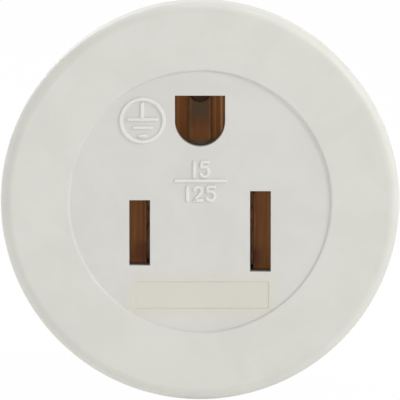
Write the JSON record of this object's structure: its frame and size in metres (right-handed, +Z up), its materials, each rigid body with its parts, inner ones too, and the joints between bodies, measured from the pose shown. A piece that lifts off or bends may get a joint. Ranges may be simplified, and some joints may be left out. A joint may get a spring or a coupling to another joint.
{
  "type": "travel adapter",
  "caption": "Round white travel adapter: American earthed socket face in front, European earthed round plug with pins, guide grooves and earth springs behind.",
  "frame": {"origin": "centre of the plug's engagement face, midway between its two pins", "axes": "+Y along the pins, out of the plug; -Y out of the socket face; +Z up, towards the earth opening; +X towards the taller slot"},
  "size_m": [0.042, 0.05, 0.042],
  "materials": {
    "white_shell": "satin moulded",
    "white_insert": "satin moulded",
    "brown_phenolic": "moulded",
    "fibre_board": "pressed",
    "contact_bronze": "rolled",
    "brass_strip": "rolled",
    "dark_copper": "dull",
    "nickel_plate": "plated, bright",
    "tinned_spring": "tinned, rolled",
    "zinc_steel": "zinc plated"
  },
  "bodies": {
    "root": {"outer_housing": "white_shell", "face_insert": "white_insert", "plug_body": "white_shell", "contact_carrier": "brown_phenolic", "insulating_plate": "fibre_board", "line_contact": "contact_bronze", "neutral_contact": "contact_bronze", "ground_contact": "contact_bronze", "line_strap": "brass_strip", "neutral_strap": "brass_strip", "contact_rivets": "dark_copper", "ground_rivet": "dark_copper", "line_pin": "nickel_plate", "neutral_pin": "nickel_plate", "pin_washers": "zinc_steel", "earth_bridge": "brass_strip", "upper_earth_spring": "tinned_spring", "lower_earth_spring": "tinned_spring", "earth_tube": "brass_strip", "housing_screw": "zinc_steel", "screw_insert": "brass_strip"}
  },
  "joints": []
}
